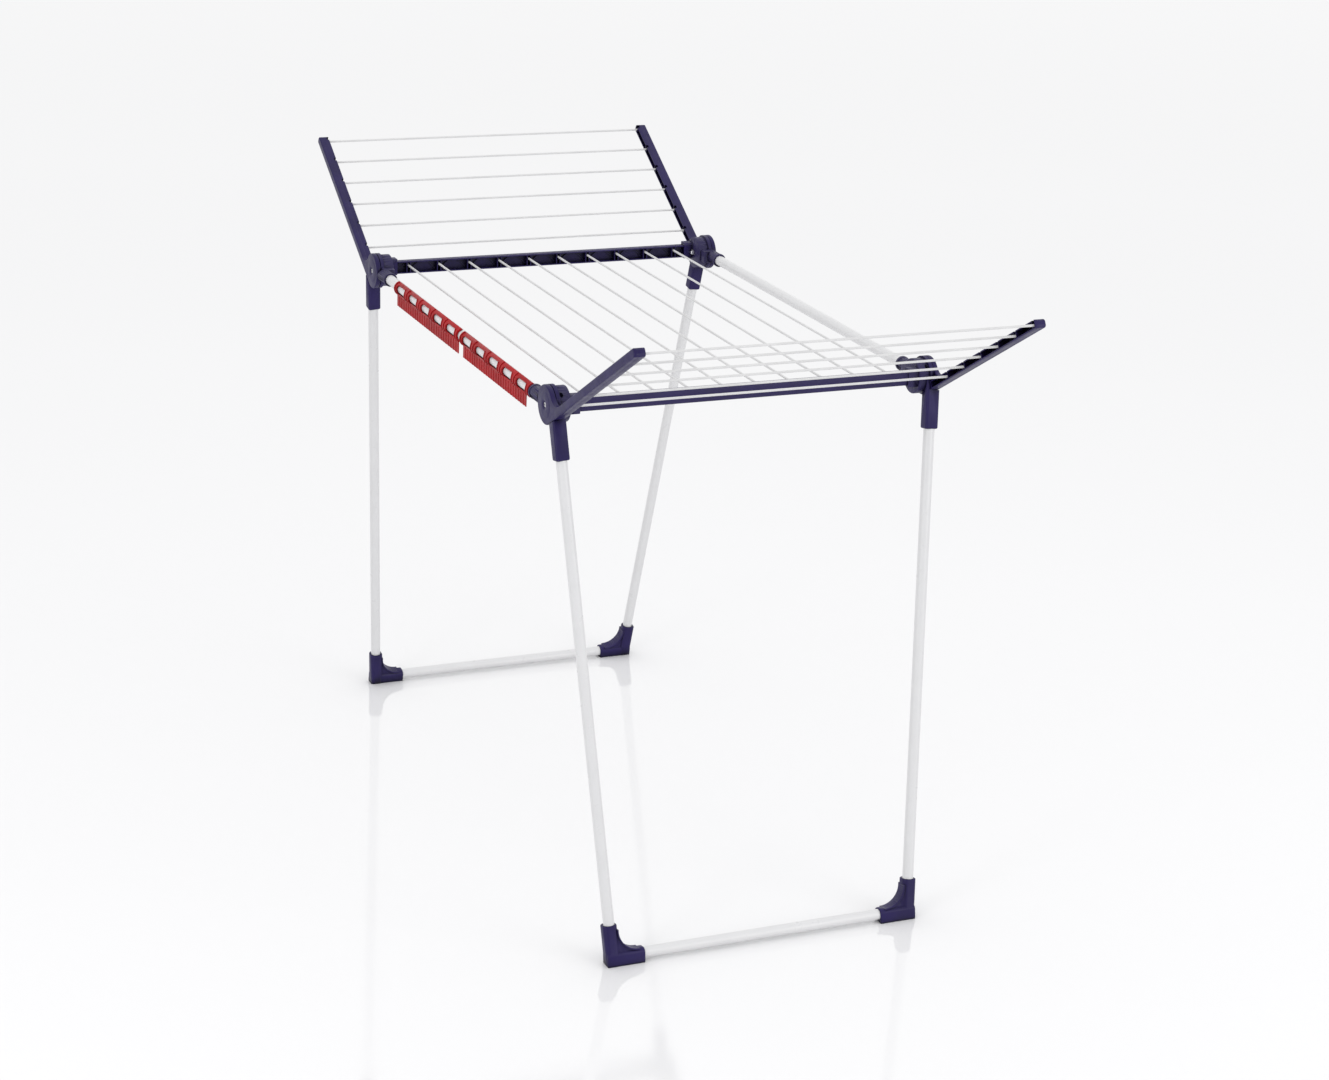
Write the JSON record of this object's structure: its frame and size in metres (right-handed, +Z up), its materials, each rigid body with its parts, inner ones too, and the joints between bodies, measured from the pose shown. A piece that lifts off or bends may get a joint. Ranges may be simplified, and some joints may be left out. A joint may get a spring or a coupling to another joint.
{
  "type": "clothes drying rack",
  "caption": "Free-standing folding clothes airer: lined steel frame, hinged lined wings, fold-under U-shaped tube legs with corner feet, and clip-on holders for small items.",
  "frame": {"origin": "on the floor, under the middle of the rack", "axes": "+Z up, +X to the right across the rack, +Y to the back, along the centre lines"},
  "size_m": [0.7004, 1.6454, 1.1074],
  "materials": {
    "dark_blue_plastic": "satin moulded polypropylene",
    "white_coated_steel": "smooth white powder coat on steel tube",
    "white_line_coating": "smooth white plastic coating",
    "red_plastic": "semi-gloss moulded plastic",
    "zinc_plated_steel": "bright zinc plate"
  },
  "bodies": {
    "frame": {"side_tube_left": "white_coated_steel", "side_tube_right": "white_coated_steel", "end_rail_back": "dark_blue_plastic", "end_rail_front": "dark_blue_plastic", "corner_housing_back_left": "dark_blue_plastic", "corner_housing_back_right": "dark_blue_plastic", "corner_housing_front_left": "dark_blue_plastic", "corner_housing_front_right": "dark_blue_plastic", "centre_line_01": "white_line_coating", "centre_line_02": "white_line_coating", "centre_line_03": "white_line_coating", "centre_line_04": "white_line_coating", "centre_line_05": "white_line_coating", "centre_line_06": "white_line_coating", "centre_line_07": "white_line_coating", "centre_line_08": "white_line_coating", "centre_line_09": "white_line_coating", "centre_line_10": "white_line_coating", "pivot_bolt_back_left": "zinc_plated_steel", "pivot_bolt_back_right": "zinc_plated_steel", "pivot_bolt_front_left": "zinc_plated_steel", "pivot_bolt_front_right": "zinc_plated_steel", "pivot_nut_back_left": "zinc_plated_steel", "pivot_nut_back_right": "zinc_plated_steel", "pivot_nut_front_left": "zinc_plated_steel", "pivot_nut_front_right": "zinc_plated_steel", "small_item_holder_back": "red_plastic", "small_item_holder_front": "red_plastic"},
    "wing_front": {"wing_arm_front_left": "dark_blue_plastic", "wing_arm_front_right": "dark_blue_plastic", "wing_line_front_1": "white_line_coating", "wing_line_front_2": "white_line_coating", "wing_line_front_3": "white_line_coating", "wing_line_front_4": "white_line_coating", "wing_line_front_5": "white_line_coating", "wing_line_front_6": "white_line_coating"},
    "wing_back": {"wing_arm_back_left": "dark_blue_plastic", "wing_arm_back_right": "dark_blue_plastic", "wing_line_back_1": "white_line_coating", "wing_line_back_2": "white_line_coating", "wing_line_back_3": "white_line_coating", "wing_line_back_4": "white_line_coating", "wing_line_back_5": "white_line_coating", "wing_line_back_6": "white_line_coating"},
    "leg_front": {"leg_head_front_left": "dark_blue_plastic", "leg_tube_front_left": "white_coated_steel", "foot_front_left": "dark_blue_plastic", "leg_head_front_right": "dark_blue_plastic", "leg_tube_front_right": "white_coated_steel", "foot_front_right": "dark_blue_plastic", "cross_tube_front": "white_coated_steel"},
    "leg_back": {"leg_head_back_left": "dark_blue_plastic", "leg_tube_back_left": "white_coated_steel", "foot_back_left": "dark_blue_plastic", "leg_head_back_right": "dark_blue_plastic", "leg_tube_back_right": "white_coated_steel", "foot_back_right": "dark_blue_plastic", "cross_tube_back": "white_coated_steel"}
  },
  "joints": [
    {"name": "wing_front_hinge", "type": "hinge", "parent": "frame", "child": "wing_front", "pos_m": [0, -0.463, 0.9205], "axis": [-1, 0, 0], "range_deg": [0, 149.3]},
    {"name": "wing_back_hinge", "type": "hinge", "parent": "frame", "child": "wing_back", "pos_m": [0, 0.463, 0.9205], "axis": [1, 0, 0], "range_deg": [0, 149.3]},
    {"name": "leg_front_hinge", "type": "hinge", "parent": "frame", "child": "leg_front", "pos_m": [0, -0.463, 0.9205], "axis": [1, 0, 0], "range_deg": [0, 98.3]},
    {"name": "leg_back_hinge", "type": "hinge", "parent": "frame", "child": "leg_back", "pos_m": [0, 0.463, 0.9205], "axis": [-1, 0, 0], "range_deg": [0, 94.3]}
  ]
}
